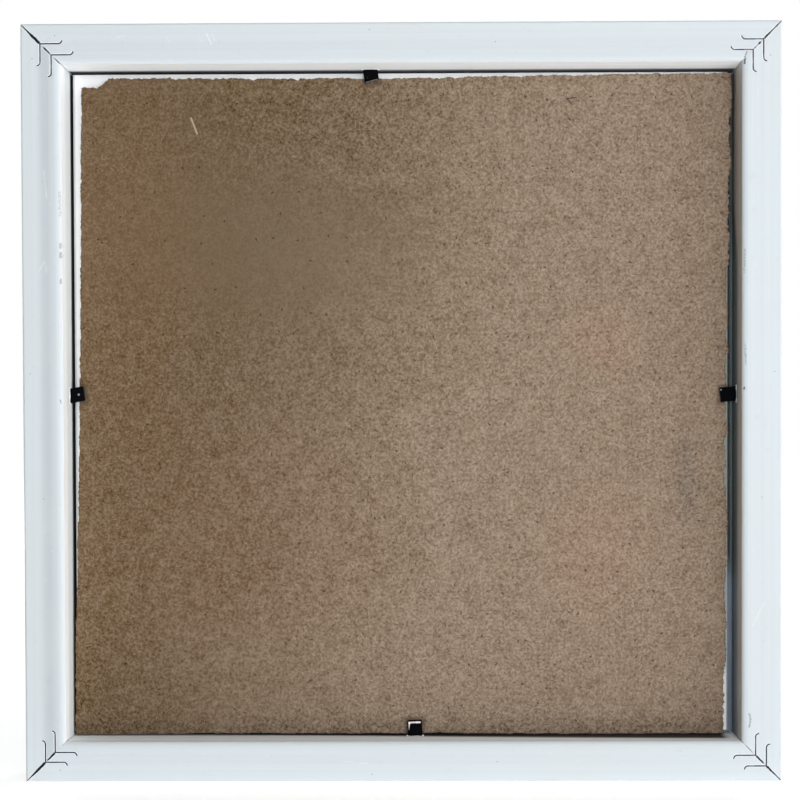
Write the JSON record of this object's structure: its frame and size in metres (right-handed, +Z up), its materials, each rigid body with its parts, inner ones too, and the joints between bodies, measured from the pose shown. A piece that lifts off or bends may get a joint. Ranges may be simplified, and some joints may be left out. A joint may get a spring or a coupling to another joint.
{
  "type": "photo frame",
  "caption": "Back-loading square photo frame: white mitred moulding joined by V-nails, with glazing, print and hardboard back held by bend-up steel points.",
  "frame": {"origin": "centre of the bounding box's underside, where the frame stands on its bottom rail", "axes": "+Z up the frame, front towards -Y, loading side towards +Y, +X to the right as seen from the front"},
  "size_m": [0.254, 0.02, 0.254],
  "materials": {
    "white_plastic": "satin white polystyrene moulding with faint extrusion lines",
    "nail_steel": "dull blued spring steel",
    "black_steel": "thin black lacquer on soft steel",
    "clear_glass": "clear float glass with plain cut edges",
    "white_paper": "matt white card",
    "hardboard": "brown pressed fibreboard with rough sawn edges"
  },
  "bodies": {
    "frame": {"top_rail": "white_plastic", "bottom_rail": "white_plastic", "left_rail": "white_plastic", "right_rail": "white_plastic", "v_nail_bottom_left_outer": "nail_steel", "v_nail_bottom_left_inner": "nail_steel", "v_nail_top_left_outer": "nail_steel", "v_nail_top_left_inner": "nail_steel", "v_nail_top_right_outer": "nail_steel", "v_nail_top_right_inner": "nail_steel", "v_nail_bottom_right_outer": "nail_steel", "v_nail_bottom_right_inner": "nail_steel", "glazing_sheet": "clear_glass", "print_insert": "white_paper", "backing_board": "hardboard", "tab_shank_top": "black_steel", "tab_shank_bottom": "black_steel", "tab_shank_left": "black_steel", "tab_shank_right": "black_steel"},
    "top_tab": {"tab_blade_top": "black_steel"},
    "bottom_tab": {"tab_blade_bottom": "black_steel"},
    "left_tab": {"tab_blade_left": "black_steel"},
    "right_tab": {"tab_blade_right": "black_steel"}
  },
  "joints": [
    {"name": "top_tab_bend", "type": "hinge", "parent": "frame", "child": "top_tab", "pos_m": [0.0105, 0.00175, 0.2396], "axis": [0.9903, 0, -0.1392], "range_deg": [0, 90]},
    {"name": "bottom_tab_bend", "type": "hinge", "parent": "frame", "child": "bottom_tab", "pos_m": [-0.0039, 0.00175, 0.0144], "axis": [-0.9986, 0, 0.0523], "range_deg": [0, 90]},
    {"name": "left_tab_bend", "type": "hinge", "parent": "frame", "child": "left_tab", "pos_m": [-0.1126, 0.00175, 0.1302], "axis": [0.0872, 0, 0.9962], "range_deg": [0, 90]},
    {"name": "right_tab_bend", "type": "hinge", "parent": "frame", "child": "right_tab", "pos_m": [0.1126, 0.00175, 0.1303], "axis": [-0.1736, 0, -0.9848], "range_deg": [0, 90]}
  ]
}
